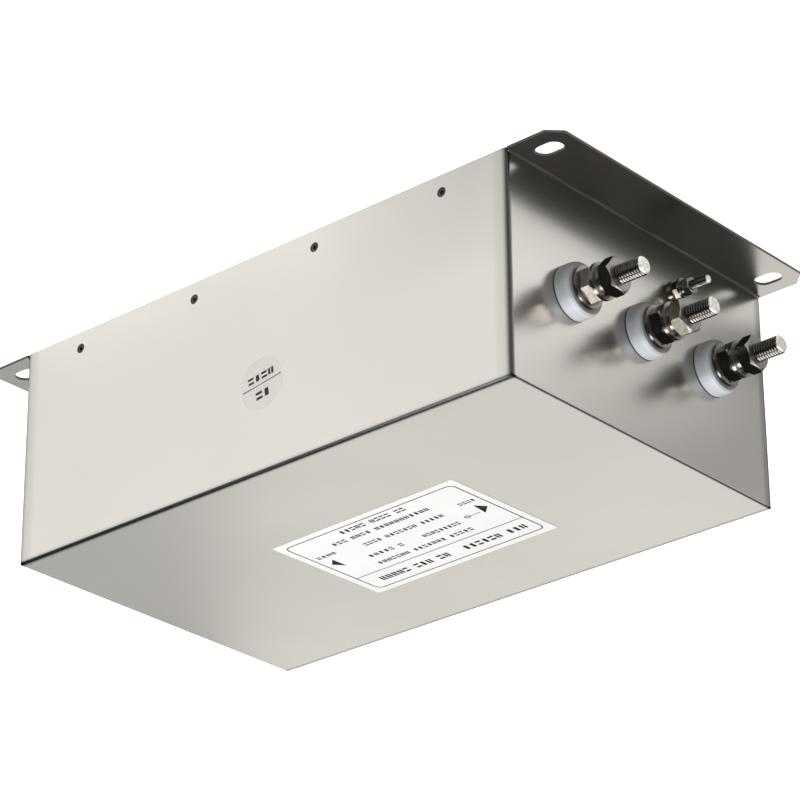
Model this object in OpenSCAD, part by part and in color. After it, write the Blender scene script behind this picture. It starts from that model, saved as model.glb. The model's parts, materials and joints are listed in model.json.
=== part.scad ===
// Three-phase line filter in a flanged sheet-steel case.
// Origin: centre of the mounting face. +Z points to the label face, -X to the LINE end.

/* [Case] */
// Length of the case over its end walls
case_l = 272.5; // [260:0.5:400]
// Width of the case over its long walls
case_w = 169; // [165:1:240]
// Height from the mounting face to the label face
case_h = 100; // [98:1:140]
// Thickness of the cover sheet
cover_t = 1.5; // [1:0.1:2]
// Outside bend radius of the cover's long edges and corners
bend_r = 2; // [1.6:0.1:3]
// Outside radius of the cover's end seams
seam_r = 0.8; // [0.4:0.1:1.5]

/* [Base plate] */
// Thickness of the base sheet
base_t = 1.2; // [1:0.1:2]
// Length of the flange beyond each end wall
flange_len = 25; // [20:1:40]
// Corner chamfer of the flange
flange_chamfer = 6; // [2:0.5:10]
// Width of the mounting slots
slot_w = 8.5; // [5:0.5:9]
// Length of the mounting slots, end to end
slot_len = 12.6; // [10:0.1:16]
// Distance of the slot centres from the end wall
slot_out = 12.4; // [10:0.1:14]
// Distance between the two slots of a flange
slot_pitch = 146; // [120:1:150]
// Height of the lips that carry the cover
lip_h = 16; // [13:1:20]
// Length of the lips
lip_l = 246; // [225:1:250]

/* [Cover screws] */
// Distance between neighbouring screws of a long wall
screw_pitch = 68.4; // [60:0.1:70]
// Height of the screws over the mounting face
screw_z = 8; // [7:0.5:10]
// Shank diameter
screw_d = 2.5; // [2:0.5:3]
// Head diameter
screw_head_d = 4.4; // [4:0.1:6]

/* [Terminals] */
// Distance between neighbouring studs
stud_pitch = 45.5; // [44:0.5:60]
// Height of the studs over the mounting face
stud_z = 50; // [48:1:60]
// Thread diameter of the studs
stud_d = 8; // [6:1:10]
// Length of stud outside the end wall
stud_out = 36; // [34:1:50]
// Width across flats of the stud nuts
nut_af = 14; // [13:1:17]
// Thickness of the stud nuts
nut_t = 6; // [5:0.1:8]
// Diameter of the insulating collar
bush_d = 23.6; // [22:0.2:30]
// Thickness of the outer collar
bush_t = 7; // [5:0.5:10]

/* [Earth screws] */
// Sideways place of the earth screw, midway between studs two and three
ground_y = 22.75; // [20:0.25:26]
// Height of the earth screw over the mounting face
ground_z = 22.6; // [21:0.2:26]
// Thread diameter of the earth screw
ground_d = 4; // [4:1:5]
// Length of earth screw outside the end wall
ground_out = 17.5; // [14:0.5:25]
// Width across flats of the earth nuts
ground_af = 7; // [7:1:8]

/* [Label and sticker] */
// Length of the rating label
label_l = 102; // [60:1:140]
// Width of the rating label
label_w = 66; // [40:1:100]
// Middle of the label along the case
label_x = -7.5; // [-40:0.5:40]
// Middle of the label across the case
label_y = 7; // [-20:0.5:20]
// Turn of the label, as it was stuck on
label_turn = 1.6; // [-5:0.1:5]
// Diameter of the round sticker
sticker_d = 23.5; // [15:0.5:30]
// Place of the sticker along the case
sticker_x = -5.5; // [-60:0.5:60]
// Height of the sticker on the long wall
sticker_z = 60.5; // [40:0.5:80]

/* [Choke] */
// Inner diameter of the ring core
core_id = 62; // [60:1:70]
// Outer diameter of the ring core
core_od = 100; // [90:1:104]
// Height of the ring core
core_h = 30; // [20:1:34]
// Diameter of the winding wire
wire_d = 5; // [3:0.5:5]
// Turns of each phase winding
turns = 5; // [3:1:6]
// Angle from one turn to the next
turn_step = 14; // [13:1:16]
// Height of the winding leads over the mounting face
lead_z = 64; // [63:1:66]

/* [Boards] */
// Width of each circuit board
board_w = 150; // [140:1:156]
// Thickness of each circuit board
board_t = 2; // [1.6:0.1:2.4]
// Length of the phase capacitors, across the case
cap_l = 42; // [30:1:44]
// Height of the phase capacitors
cap_h = 20; // [12:1:26]
// Depth of the phase capacitors, from the board into the case
cap_depth = 32; // [20:1:36]
// Length of the earth capacitors, across the case
earth_cap_l = 26; // [18:1:30]
// Height of the earth capacitors
earth_cap_h = 15; // [10:1:20]
// Depth of the earth capacitors, from the board into the case
earth_cap_depth = 22; // [14:1:36]

/* [Hidden] */

$fn = 64;
thin_fn = 24;
cut = 0.5;

// Case faces
wall_out = case_l / 2;
wall_in = wall_out - cover_t;
inner_w = case_w - 2 * cover_t;
least_bend = 0.3;
inner_bend = max(bend_r - cover_t, least_bend);
fold_r = 2;

// Cover screws
screws_a_side = 4;
screw_sink = 0.25;
screw_cone = (screw_head_d - screw_d) / 2;
screw_len = 5.5;
socket_d = 1.9;
socket_deep = 0.7;

// Terminal stack outside, measured from the end wall
bush_neck_t = 2.5;
bush_hole_d = stud_d + 2 * bush_neck_t;
bush_neck_in = 2;
bush_round = 1.8;
bush_round_step = 22.5;
bush_edge = 0.4;
washer_t = 1.5;
washer_d = 18;
small_washer_d = 16;
spring_t = 2;
spring_d = 13.4;
spring_cut = 10;
bore_gap = 0.4;
mean_thread = 0.9;
nut_relief = 0.3;
nut_bevel = 0.55;
nut_land_in = 0.2;
nut_rim_out = 0.1;
thread_beyond = 3;
clamp_nut_at = bush_t + washer_t;
wire_washer_at = clamp_nut_at + nut_t;
spring_at = wire_washer_at + washer_t;
wire_nut_at = spring_at + spring_t;
nut_turn = [2, 42, 42];
wire_nut_turn = [36, 2, 36];

// Terminal stack inside, measured from the inner face of the end wall
inner_bush_t = 4;
board_at = inner_bush_t + washer_t;
lug_at = board_at + board_t;
lug_t = 2.5;
inside_spring_at = lug_at + lug_t;
inside_nut_at = inside_spring_at + spring_t;
stud_in = inside_nut_at + nut_t + thread_beyond;

// Lugs: the barrel sits above the stud and takes the winding lead
lug_w = 16;
barrel_wall = 2;
barrel_d = wire_d + 2 * barrel_wall;
barrel_l = 18;
lead_depth = 15;
barrel_up = lead_z - stud_z;

// Earth screw stack
ground_washer_t = 0.9;
ground_washer_d = 9;
ground_nut_t = 3.2;
ground_spring_t = 1.1;
ground_spring_d = 7;
ground_head_t = 2.8;
ground_nut_at = ground_washer_t;
ground_washer_at = ground_nut_at + ground_nut_t;
ground_spring_at = ground_washer_at + ground_washer_t;
ground_outer_nut_at = ground_spring_at + ground_spring_t;
ground_turn = [10, 55];

// Choke, built up from the base sheet
case_wall = 1.5;
core_gap = 0.3;
ring_in = core_id / 2 - case_wall - core_gap;
ring_out = core_od / 2 + case_wall + core_gap;
wire_r = wire_d / 2;
wire_gap = 0.05;
pad_t = 5.2;
ring_z = base_t + pad_t + wire_d + wire_gap;
ring_top = ring_z + core_h + 2 * case_wall + core_gap;
turn_in = ring_in - wire_r - wire_gap;
turn_out = ring_out + wire_r + wire_gap;
turn_low = ring_z - wire_r - wire_gap;
turn_high = ring_top + wire_r + wire_gap;
wound_top = turn_high + wire_r;
clamp_t = 4;
clamp_over = 8;
choke_stud_d = 6;
choke_thread_beyond = 1;
choke_nut_af = 10;
choke_nut_t = 5;
choke_nut_at = wound_top + clamp_t;
choke_foot_d = 9;
choke_foot_t = 1.2;
divider_t = 3;
divider_hub_d = 16;
divider_gap = 0.1;
wire_sides = 8;
corner_steps = 3;
corner_cut = 3;
corner_share = 0.45;
lead_straight = 9;

// Winding sectors: middle angle, and the way that the turns run
phase_mid = [210, 330, 90];
phase_way = [-1, 1, -1];

// Boards and what stands on them
board_low = 4;
board_high = 96;
board_corner = 2;
cap_size = [cap_l, cap_h, cap_depth];
cap_pins = cap_l - 8;
cap_z = 84;
earth_cap_size = [earth_cap_l, earth_cap_h, earth_cap_depth];
earth_cap_pins = earth_cap_l - 6;
earth_cap_at = [-25, 22];
cap_edge = 1;
pin_d = 1;
pin_gap = 0.2;
pin_through = 1.5;
resistor_y = 58;
resistor_z = [14, 24, 34];
resistor_d = 6;
resistor_l = 18;
resistor_lift = 5;
resistor_pin_y = 13;

label_t = 0.2;
label_corner = 1;
sticker_t = 0.1;

function stud_y(i) = (i - 2) * stud_pitch;

// Flat shapes

module round_rect(size, r) {
    square([size[0] - 2 * r, size[1]], center = true);
    square([size[0], size[1] - 2 * r], center = true);
    for (x = [-1, 1], y = [-1, 1])
        translate([x * (size[0] / 2 - r), y * (size[1] / 2 - r)]) circle(r);
}

// A sheet profile with its two lower corners rounded, standing on y = 0
module sole(w, h, r) {
    translate([-w / 2, r]) square([w, h - r]);
    translate([-w / 2 + r, 0]) square([w - 2 * r, h]);
    for (x = [-1, 1]) translate([x * (w / 2 - r), r]) circle(r);
}

// Place children at the outer face of an end wall, with their Z pointing out of the case.
// side is -1 for the LINE end and 1 for the LOAD end.
module on_end(side, y, z, out = 0) {
    translate([side * (wall_out + out), y, z]) rotate([0, side * 90, 0]) children();
}

// The same from the inner face of an end wall, with their Z pointing into the case
module in_end(side, y, z, depth = 0) {
    translate([side * (wall_in - depth), y, z]) rotate([0, -side * 90, 0]) children();
}

module at_studs() {
    for (side = [-1, 1], i = [1:3]) on_end(side, stud_y(i), stud_z) children();
}

// Fastener shapes

module washer(d, bore, t) {
    difference() {
        cylinder(d = d, h = t);
        translate([0, 0, -cut]) cylinder(d = bore, h = t + 2 * cut);
    }
}

module split_washer(d, bore, t) {
    rotate_extrude(angle = 360 - spring_cut)
        translate([bore / 2, 0]) square([(d - bore) / 2, t]);
}

// Hexagon nut with both faces chamfered, for a thread of diameter d
module hex_nut(af, d, t, turn = 0) {
    bore = mean_thread * d;
    across_corners = af / cos(30);
    bevel = nut_bevel * (across_corners - af);
    land = af / 2 - nut_land_in;
    rim = across_corners / 2 + nut_rim_out;
    difference() {
        intersection() {
            rotate(turn) cylinder(d = across_corners, h = t, $fn = 6);
            rotate_extrude()
                polygon([[0, 0], [land, 0], [rim, bevel], [rim, t - bevel], [land, t], [0, t]]);
        }
        translate([0, 0, -cut]) cylinder(d = bore, h = t + 2 * cut);
    }
}

// Threaded rod with a chamfer at each end. The thread is plain: bare rod has its outside
// diameter, and rod in a nut, from nut[0] to nut[1], has the mean diameter of the two threads.
module rod(d, len, tip, nuts = []) {
    in_nut = mean_thread * d / 2;
    rotate_extrude()
        polygon(concat(
            [[0, 0], [d / 2 - tip, 0], [d / 2, tip]],
            [for (nut = nuts, k = [0:3])
                [k == 0 || k == 3 ? d / 2 : in_nut,
                    k < 2 ? nut[0] - nut_relief : nut[1] + nut_relief]],
            [[d / 2, len - tip], [d / 2 - tip, len], [0, len]]
        ));
}

// Case

module case_block(l, w, h, r) {
    intersection() {
        linear_extrude(h) round_rect([l, w], r);
        translate([-l / 2, 0, h]) rotate([0, 90, 0]) rotate(-90) linear_extrude(l) sole(w, h, r);
    }
}

module cover() {
    color("gainsboro") difference() {
        intersection() {
            case_block(case_l, case_w, case_h, bend_r);
            translate([0, case_w / 2, case_h]) rotate([90, 0, 0]) rotate(180)
                linear_extrude(case_w) sole(case_l, case_h, seam_r);
        }
        translate([0, 0, -cut])
            case_block(2 * wall_in, inner_w, case_h - cover_t + cut, inner_bend);
        for (side = [-1, 1])
            translate([side * case_l / 2, 0, 0])
                cube([4 * cover_t, inner_w, 2 * base_t], center = true);
        for (side = [-1, 1], i = [1:3])
            on_end(side, stud_y(i), stud_z, -cover_t - cut)
                cylinder(d = bush_hole_d, h = cover_t + 2 * cut);
        for (side = [-1, 1])
            on_end(side, ground_y, ground_z, -cover_t - cut)
                cylinder(d = ground_d + bore_gap, h = cover_t + 2 * cut);
        at_cover_screws() screw_seat();
    }
}

// Outline of the base: between the long walls it is narrower than the flanges.
// The two halves overlap by a little in the middle.
module base_outline() {
    far = wall_out + flange_len;
    half_in = inner_w / 2;
    half_out = case_w / 2;
    for (side = [-1, 1]) scale([side, 1])
        polygon([
            [-cut, -half_in], [wall_out, -half_in], [wall_out, -half_out],
            [far - flange_chamfer, -half_out], [far, -half_out + flange_chamfer],
            [far, half_out - flange_chamfer], [far - flange_chamfer, half_out],
            [wall_out, half_out], [wall_out, half_in], [-cut, half_in]
        ]);
}

module slot() {
    reach = (slot_len - slot_w) / 2;
    square([2 * reach, slot_w], center = true);
    for (x = [-1, 1]) translate([x * reach, 0]) circle(d = slot_w);
}

module base_plate() {
    color("silver") difference() {
        union() {
            linear_extrude(base_t) difference() {
                base_outline();
                for (side = [-1, 1], s = [-1, 1])
                    translate([side * (wall_out + slot_out), s * slot_pitch / 2]) slot();
                for (s = [-1, 1])
                    translate([0, s * inner_w / 2]) square([lip_l, 2 * fold_r], center = true);
            }
            translate([-lip_l / 2, 0, 0]) rotate([90, 0, 90]) linear_extrude(lip_l) difference() {
                sole(inner_w, lip_h, fold_r);
                translate([0, base_t]) sole(inner_w - 2 * base_t, lip_h, fold_r - base_t);
            }
        }
        at_cover_screws() cylinder(d = screw_d, h = 4 * (cover_t + base_t), center = true);
    }
}

// Cover screws: Z points out of the long wall, with the wall's outer face at 0

module at_cover_screws() {
    for (s = [-1, 1], k = [0:screws_a_side - 1])
        translate([(k - (screws_a_side - 1) / 2) * screw_pitch, s * case_w / 2, screw_z])
            rotate([-s * 90, 0, 0]) children();
}

module screw_seat() {
    translate([0, 0, -screw_sink]) cylinder(d = screw_head_d, h = screw_sink + cut);
    translate([0, 0, -screw_sink - screw_cone])
        cylinder(d1 = screw_d, d2 = screw_head_d, h = screw_cone);
    translate([0, 0, -2 * cover_t]) cylinder(d = screw_d, h = 2 * cover_t);
}

module cover_screw() {
    difference() {
        union() {
            translate([0, 0, -screw_sink - screw_cone])
                cylinder(d1 = screw_d, d2 = screw_head_d, h = screw_cone);
            translate([0, 0, -screw_sink - screw_len]) cylinder(d = screw_d, h = screw_len);
        }
        translate([0, 0, -screw_sink - socket_deep]) cylinder(d = socket_d, h = socket_deep + cut, $fn = 6);
    }
}

module cover_screws() {
    color("dimgray") at_cover_screws() cover_screw();
}

module rating_label() {
    color("white") translate([label_x, label_y, case_h]) rotate(label_turn)
        linear_extrude(label_t) round_rect([label_l, label_w], label_corner);
}

module round_sticker() {
    color("whitesmoke") translate([sticker_x, -case_w / 2, sticker_z]) rotate([90, 0, 0])
        cylinder(d = sticker_d, h = sticker_t);
}

// Terminals

module stud(side, i) {
    tip = 0.9;
    wall_at = stud_in + cover_t;
    inside_nut = stud_in - inside_nut_at;
    color("lightgray") on_end(side, stud_y(i), stud_z, -wall_at)
        rod(stud_d, wall_at + stud_out, tip, [
            [inside_nut - nut_t, inside_nut],
            [wall_at + clamp_nut_at, wall_at + clamp_nut_at + nut_t],
            [wall_at + wire_nut_at, wall_at + wire_nut_at + nut_t]
        ]);
}

// Outline of a collar's rounded front edge, which rises twice as far as it runs in
function rounded_end(r, t) = [
    for (a = [0:bush_round_step:90])
        [r - bush_round * (1 - cos(a)), t - 2 * bush_round * (1 - sin(a))]
];

// Outer collar: a disc with a neck that passes through the wall into the inner collar
module bush(side, i) {
    color("aliceblue") on_end(side, stud_y(i), stud_z) rotate_extrude() polygon(concat(
        [
            [(stud_d + bore_gap) / 2, -cover_t - bush_neck_in],
            [bush_hole_d / 2, -cover_t - bush_neck_in],
            [bush_hole_d / 2, 0], [bush_d / 2 - bush_edge, 0], [bush_d / 2, bush_edge]
        ],
        rounded_end(bush_d / 2, bush_t),
        [[(stud_d + bore_gap) / 2, bush_t]]
    ));
}

module inner_bush() {
    rotate_extrude() polygon([
        [bush_hole_d / 2, 0], [bush_d / 2, 0], [bush_d / 2, inner_bush_t - 2 * bush_edge],
        [bush_d / 2 - 2 * bush_edge, inner_bush_t], [(stud_d + bore_gap) / 2, inner_bush_t],
        [(stud_d + bore_gap) / 2, bush_neck_in], [bush_hole_d / 2, bush_neck_in]
    ]);
}

module inner_bushes() {
    color("aliceblue") for (side = [-1, 1], i = [1:3])
        in_end(side, stud_y(i), stud_z) inner_bush();
}

// The large flat washers, one on each side of every pair of collars
module bush_washers() {
    color("lightgray") {
        at_studs() translate([0, 0, bush_t]) washer(washer_d, stud_d + bore_gap, washer_t);
        for (side = [-1, 1], i = [1:3])
            in_end(side, stud_y(i), stud_z, inner_bush_t)
                washer(washer_d, stud_d + bore_gap, washer_t);
    }
}

module clamp_nuts() {
    color("silver") for (side = [-1, 1], i = [1:3])
        on_end(side, stud_y(i), stud_z, clamp_nut_at)
            hex_nut(nut_af, stud_d, nut_t, side * nut_turn[i - 1]);
}

module wire_washers() {
    color("lightgray") at_studs() translate([0, 0, wire_washer_at])
        washer(small_washer_d, stud_d + bore_gap, washer_t);
}

module spring_washers() {
    color("silver") at_studs() translate([0, 0, spring_at])
        split_washer(spring_d, stud_d + bore_gap, spring_t);
}

module wire_nuts() {
    color("silver") for (side = [-1, 1], i = [1:3])
        on_end(side, stud_y(i), stud_z, wire_nut_at)
            hex_nut(nut_af, stud_d, nut_t, side * wire_nut_turn[i - 1]);
}

module inside_spring_washers() {
    color("silver") for (side = [-1, 1], i = [1:3])
        in_end(side, stud_y(i), stud_z, inside_spring_at)
            split_washer(spring_d, stud_d + bore_gap, spring_t);
}

module inside_nuts() {
    color("silver") for (side = [-1, 1], i = [1:3])
        in_end(side, stud_y(i), stud_z, inside_nut_at) hex_nut(nut_af, stud_d, nut_t);
}

// Earth screws: the hexagon head bears on the inner face of the wall

module ground_stud(side) {
    tip = 0.5;
    color("lightgray") {
        on_end(side, ground_y, ground_z, -cover_t)
            rod(ground_d, cover_t + ground_out, tip, [
                for (at = [ground_nut_at, ground_outer_nut_at])
                    [cover_t + at, cover_t + at + ground_nut_t]
            ]);
        in_end(side, ground_y, ground_z)
            cylinder(d = ground_af / cos(30), h = ground_head_t, $fn = 6);
    }
}

module at_ground(out) {
    for (side = [-1, 1]) on_end(side, ground_y, ground_z, out) children();
}

module ground_washers() {
    bore = ground_d + bore_gap;
    color("lightgray") {
        at_ground(0) washer(ground_washer_d, bore, ground_washer_t);
        at_ground(ground_washer_at) washer(ground_washer_d, bore, ground_washer_t);
        at_ground(ground_spring_at) split_washer(ground_spring_d, bore, ground_spring_t);
    }
}

module ground_nuts() {
    color("silver") {
        for (side = [-1, 1], k = [0, 1])
            on_end(side, ground_y, ground_z, [ground_nut_at, ground_outer_nut_at][k])
                hex_nut(ground_af, ground_d, ground_nut_t, side * ground_turn[k]);
    }
}

// Boards: Z of each board points into the case, X of the board points down

module pin_holes(gap) {
    for (s = [-1, 1]) translate([0, s * gap / 2]) circle(d = pin_d + pin_gap);
}

module board(side) {
    color("darkgreen") in_end(side, 0, 0, board_at) linear_extrude(board_t) difference() {
        board_face(side) translate([(board_low + board_high) / 2, 0])
            round_rect([board_high - board_low, board_w], board_corner);
        board_face(side) for (i = [1:3])
            translate([stud_z, stud_y(i)]) circle(d = stud_d + bore_gap);
        board_face(side) for (i = [1:3]) translate([cap_z, stud_y(i)]) pin_holes(cap_pins);
        board_face(side) translate([earth_cap_at[1], earth_cap_at[0]])
            pin_holes(earth_cap_pins);
        if (side > 0) board_face(side) for (z = resistor_z)
            translate([z, resistor_y]) pin_holes(2 * resistor_pin_y);
    }
}

// Turns flat coordinates [height, sideways] into the frame that in_end gives
module board_face(side) {
    scale([side, 1]) children();
}

// Film capacitor: a moulded box with two pins that pass through the board
module film_capacitor(side, y, z, size, pins) {
    color("gold") in_end(side, y, z, lug_at) {
        linear_extrude(size[2] - cap_edge) square([size[1], size[0]], center = true);
        translate([0, 0, size[2] - cap_edge])
            linear_extrude(cap_edge)
                square([size[1] - 2 * cap_edge, size[0] - 2 * cap_edge], center = true);
        for (s = [-1, 1]) translate([0, s * pins / 2, -board_t - pin_through])
            cylinder(d = pin_d, h = board_t + pin_through + cut, $fn = thin_fn);
    }
}

module bleed_resistor(i) {
    z = resistor_z[i - 1];
    color("tan") in_end(1, resistor_y, z, lug_at + resistor_lift) {
        rotate([90, 0, 0]) cylinder(d = resistor_d, h = resistor_l, center = true);
        rotate([90, 0, 0]) cylinder(d = pin_d, h = 2 * resistor_pin_y, center = true, $fn = thin_fn);
        for (s = [-1, 1]) translate([0, s * resistor_pin_y, 0]) {
            sphere(d = pin_d, $fn = thin_fn);
            translate([0, 0, -resistor_lift - board_t - pin_through])
                cylinder(d = pin_d, h = resistor_lift + board_t + pin_through, $fn = thin_fn);
        }
    }
}

// Lug: a tongue on the stud and a barrel that takes the winding lead
module lug(side, i) {
    color("lightgray") in_end(side, stud_y(i), stud_z, lug_at) {
        linear_extrude(lug_t) difference() {
            union() {
                circle(d = lug_w);
                board_face(side) translate([0, -barrel_d / 2]) square([barrel_up, barrel_d]);
                board_face(side) translate([barrel_up, 0]) circle(d = barrel_d);
            }
            circle(d = stud_d + bore_gap);
        }
        translate([side * barrel_up, 0, lug_t])
            difference() {
                cylinder(d = barrel_d, h = barrel_l);
                translate([0, 0, barrel_l - lead_depth])
                    cylinder(d = wire_d, h = lead_depth + cut);
            }
    }
}

// Choke

module ring(r_in, r_out, h) {
    rotate_extrude() translate([r_in, 0]) square([r_out - r_in, h]);
}

module choke_core() {
    color("slategray") translate([0, 0, ring_z + case_wall])
        ring(core_id / 2, core_od / 2, core_h);
}

module core_case() {
    wall_h = ring_top - ring_z - case_wall;
    color("ivory") translate([0, 0, ring_z]) rotate_extrude() difference() {
        translate([ring_in, 0]) square([ring_out - ring_in, wall_h]);
        translate([ring_in + case_wall, case_wall])
            square([ring_out - ring_in - 2 * case_wall, wall_h]);
    }
}

module core_case_lid() {
    color("ivory") translate([0, 0, ring_top - case_wall]) ring(ring_in, ring_out, case_wall);
}

// Centre line of a phase winding, from the LINE lug round the core to the LOAD lug
function polar(r, a, z) = [r * cos(a), r * sin(a), z];

function turn_angle(p, k) =
    phase_mid[p] + phase_way[p] * turn_step * (k - turns / 2);

function lead_end(side, i) =
    [side * (wall_in - lug_at - lug_t - barrel_l + lead_depth), stud_y(i), lead_z];

function lead_knee(side, i) =
    [side * (wall_in - lug_at - lug_t - barrel_l - lead_straight), stud_y(i), lead_z];

function winding_corners(p, i) = concat(
    [lead_end(-1, i), lead_knee(-1, i), polar(turn_out, turn_angle(p, 0), lead_z)],
    [for (k = [0:turns - 1], c = [0:3])
        let (half = turn_angle(p, k + 0.5), next = turn_angle(p, k + 1), now = turn_angle(p, k))
        c == 0 ? polar(turn_out, now, turn_low)
        : c == 1 ? polar(turn_in, half, turn_low)
        : c == 2 ? polar(turn_in, half, turn_high)
        : polar(turn_out, next, turn_high)],
    [polar(turn_out, turn_angle(p, turns), lead_z), lead_knee(1, i), lead_end(1, i)]
);

function toward(a, b, d) = a + (b - a) * min(d / norm(b - a), corner_share);

// Round every inner corner of a path with a short curve
function softened(path) = concat(
    [path[0]],
    [for (k = [1:len(path) - 2], s = [0:corner_steps - 1])
        let (
            a = toward(path[k], path[k - 1], corner_cut),
            b = toward(path[k], path[k + 1], corner_cut),
            t = s / (corner_steps - 1)
        )
        (1 - t) * (1 - t) * a + 2 * t * (1 - t) * path[k] + t * t * b],
    [path[len(path) - 1]]
);

function unit(v) = v / norm(v);

function heading(path, k) = unit(
    (k < len(path) - 1 ? unit(path[k + 1] - path[k]) : [0, 0, 0])
    + (k > 0 ? unit(path[k] - path[k - 1]) : [0, 0, 0])
);

// Carry the ring's first direction along the path without twist
function carried(path, k, n) =
    let (h = heading(path, k)) unit(n - (n * h) * h);

function side_dirs(path, k, n) =
    k == len(path) ? []
    : let (c = carried(path, k, n)) concat([c], side_dirs(path, k + 1, c));

module swept_wire(path, r) {
    dirs = side_dirs(path, 0, [0, 0, 1]);
    last = len(path) - 1;
    points = [
        for (k = [0:last], s = [0:wire_sides - 1])
            let (a = 360 * s / wire_sides, h = heading(path, k))
            path[k] + r * (cos(a) * dirs[k] + sin(a) * cross(h, dirs[k]))
    ];
    walls = [
        for (k = [0:last - 1], s = [0:wire_sides - 1], half = [0, 1])
            let (t = (s + 1) % wire_sides, a = k * wire_sides, b = a + wire_sides)
            half == 0 ? [a + t, a + s, b + s] : [a + t, b + s, b + t]
    ];
    start = [for (s = [0:wire_sides - 1]) s];
    end = [for (s = [wire_sides - 1:-1:0]) last * wire_sides + s];
    polyhedron(points, concat([start, end], walls));
}

module winding(i) {
    color("peru") swept_wire(softened(winding_corners(i - 1, i)), wire_r);
}

// Stands on the pad in the gaps between the windings and carries the clamp plate
module phase_divider() {
    low = base_t + pad_t;
    arm = ring_in - divider_gap;
    color("ivory") translate([0, 0, low]) linear_extrude(wound_top - low) difference() {
        union() {
            circle(d = divider_hub_d);
            for (p = phase_mid) rotate(p + 180) translate([0, -divider_t / 2])
                square([arm, divider_t]);
        }
        circle(d = choke_stud_d + bore_gap);
    }
}

module choke_pad() {
    color("darkseagreen") translate([0, 0, base_t])
        washer(2 * (turn_out + wire_r), choke_foot_d + bore_gap, pad_t);
}

module clamp_plate() {
    color("burlywood") translate([0, 0, wound_top])
        washer(2 * (ring_in + clamp_over), choke_stud_d + bore_gap, clamp_t);
}

module choke_stud() {
    tip = 0.6;
    nut_at = choke_nut_at - base_t;
    color("silver") translate([0, 0, base_t]) {
        cylinder(d = choke_foot_d, h = choke_foot_t);
        rod(choke_stud_d, nut_at + choke_nut_t + choke_thread_beyond, tip,
            [[nut_at, nut_at + choke_nut_t]]);
    }
}

module choke_nut() {
    color("silver") translate([0, 0, choke_nut_at])
        hex_nut(choke_nut_af, choke_stud_d, choke_nut_t);
}

cover();
base_plate();
cover_screws();
rating_label();
round_sticker();
stud(-1, 1);  // line_stud_1
stud(-1, 2);  // line_stud_2
stud(-1, 3);  // line_stud_3
stud(1, 1);  // load_stud_1
stud(1, 2);  // load_stud_2
stud(1, 3);  // load_stud_3
bush(-1, 1);  // line_bush_1
bush(-1, 2);  // line_bush_2
bush(-1, 3);  // line_bush_3
bush(1, 1);  // load_bush_1
bush(1, 2);  // load_bush_2
bush(1, 3);  // load_bush_3
inner_bushes();
bush_washers();
clamp_nuts();
wire_washers();
spring_washers();
wire_nuts();
inside_spring_washers();
inside_nuts();
ground_stud(-1);  // ground_stud_line
ground_stud(1);  // ground_stud_load
ground_washers();
ground_nuts();
board(-1);  // line_board
board(1);  // load_board
lug(-1, 1);  // line_lug_1
lug(-1, 2);  // line_lug_2
lug(-1, 3);  // line_lug_3
lug(1, 1);  // load_lug_1
lug(1, 2);  // load_lug_2
lug(1, 3);  // load_lug_3
film_capacitor(-1, stud_y(1), cap_z, cap_size, cap_pins);  // line_capacitor_1
film_capacitor(-1, stud_y(2), cap_z, cap_size, cap_pins);  // line_capacitor_2
film_capacitor(-1, stud_y(3), cap_z, cap_size, cap_pins);  // line_capacitor_3
film_capacitor(1, stud_y(1), cap_z, cap_size, cap_pins);  // load_capacitor_1
film_capacitor(1, stud_y(2), cap_z, cap_size, cap_pins);  // load_capacitor_2
film_capacitor(1, stud_y(3), cap_z, cap_size, cap_pins);  // load_capacitor_3
film_capacitor(-1, earth_cap_at[0], earth_cap_at[1], earth_cap_size, earth_cap_pins);  // line_earth_capacitor
film_capacitor(1, earth_cap_at[0], earth_cap_at[1], earth_cap_size, earth_cap_pins);  // load_earth_capacitor
bleed_resistor(1);  // bleed_resistor_1
bleed_resistor(2);  // bleed_resistor_2
bleed_resistor(3);  // bleed_resistor_3
choke_core();
core_case();
core_case_lid();
winding(1);  // winding_1
winding(2);  // winding_2
winding(3);  // winding_3
phase_divider();
choke_pad();
clamp_plate();
choke_stud();
choke_nut();
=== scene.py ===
"""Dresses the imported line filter: plated sheet, threaded studs, printed label, studio."""

import json
import math
import random

import bmesh
import bpy
from mathutils import Matrix, Vector


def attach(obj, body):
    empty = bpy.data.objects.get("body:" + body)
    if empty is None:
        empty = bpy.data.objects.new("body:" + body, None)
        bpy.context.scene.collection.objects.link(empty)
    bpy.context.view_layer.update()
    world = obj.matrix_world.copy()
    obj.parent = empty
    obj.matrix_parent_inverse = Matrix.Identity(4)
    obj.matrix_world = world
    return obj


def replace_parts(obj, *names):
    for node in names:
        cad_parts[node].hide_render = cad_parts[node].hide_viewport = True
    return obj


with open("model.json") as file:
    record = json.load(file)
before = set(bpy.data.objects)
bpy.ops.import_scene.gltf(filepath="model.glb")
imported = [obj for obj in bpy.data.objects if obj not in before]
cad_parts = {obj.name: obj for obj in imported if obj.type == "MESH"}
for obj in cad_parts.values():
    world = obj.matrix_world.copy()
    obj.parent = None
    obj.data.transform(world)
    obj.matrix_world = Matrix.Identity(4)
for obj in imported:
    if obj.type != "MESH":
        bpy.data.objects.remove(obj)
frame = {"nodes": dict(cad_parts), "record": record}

MM = 0.001

# The case, in millimetres, as in the CAD source
WALL_X = 136.25
SIDE_Y = 84.5
TOP_Z = 100.0
SHEET = 1.2
STUD_PITCH = 45.5
STUD_Z = 50.0
STUD_OUT = 36.0
STUD_IN = 22.5
EARTH_Y = 22.75
EARTH_Z = 22.6
EARTH_OUT = 17.5
EARTH_IN = 1.5
EARTH_HEAD_R = 4.03
EARTH_HEAD_T = 2.8


# ---------------------------------------------------------------- node helpers

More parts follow.
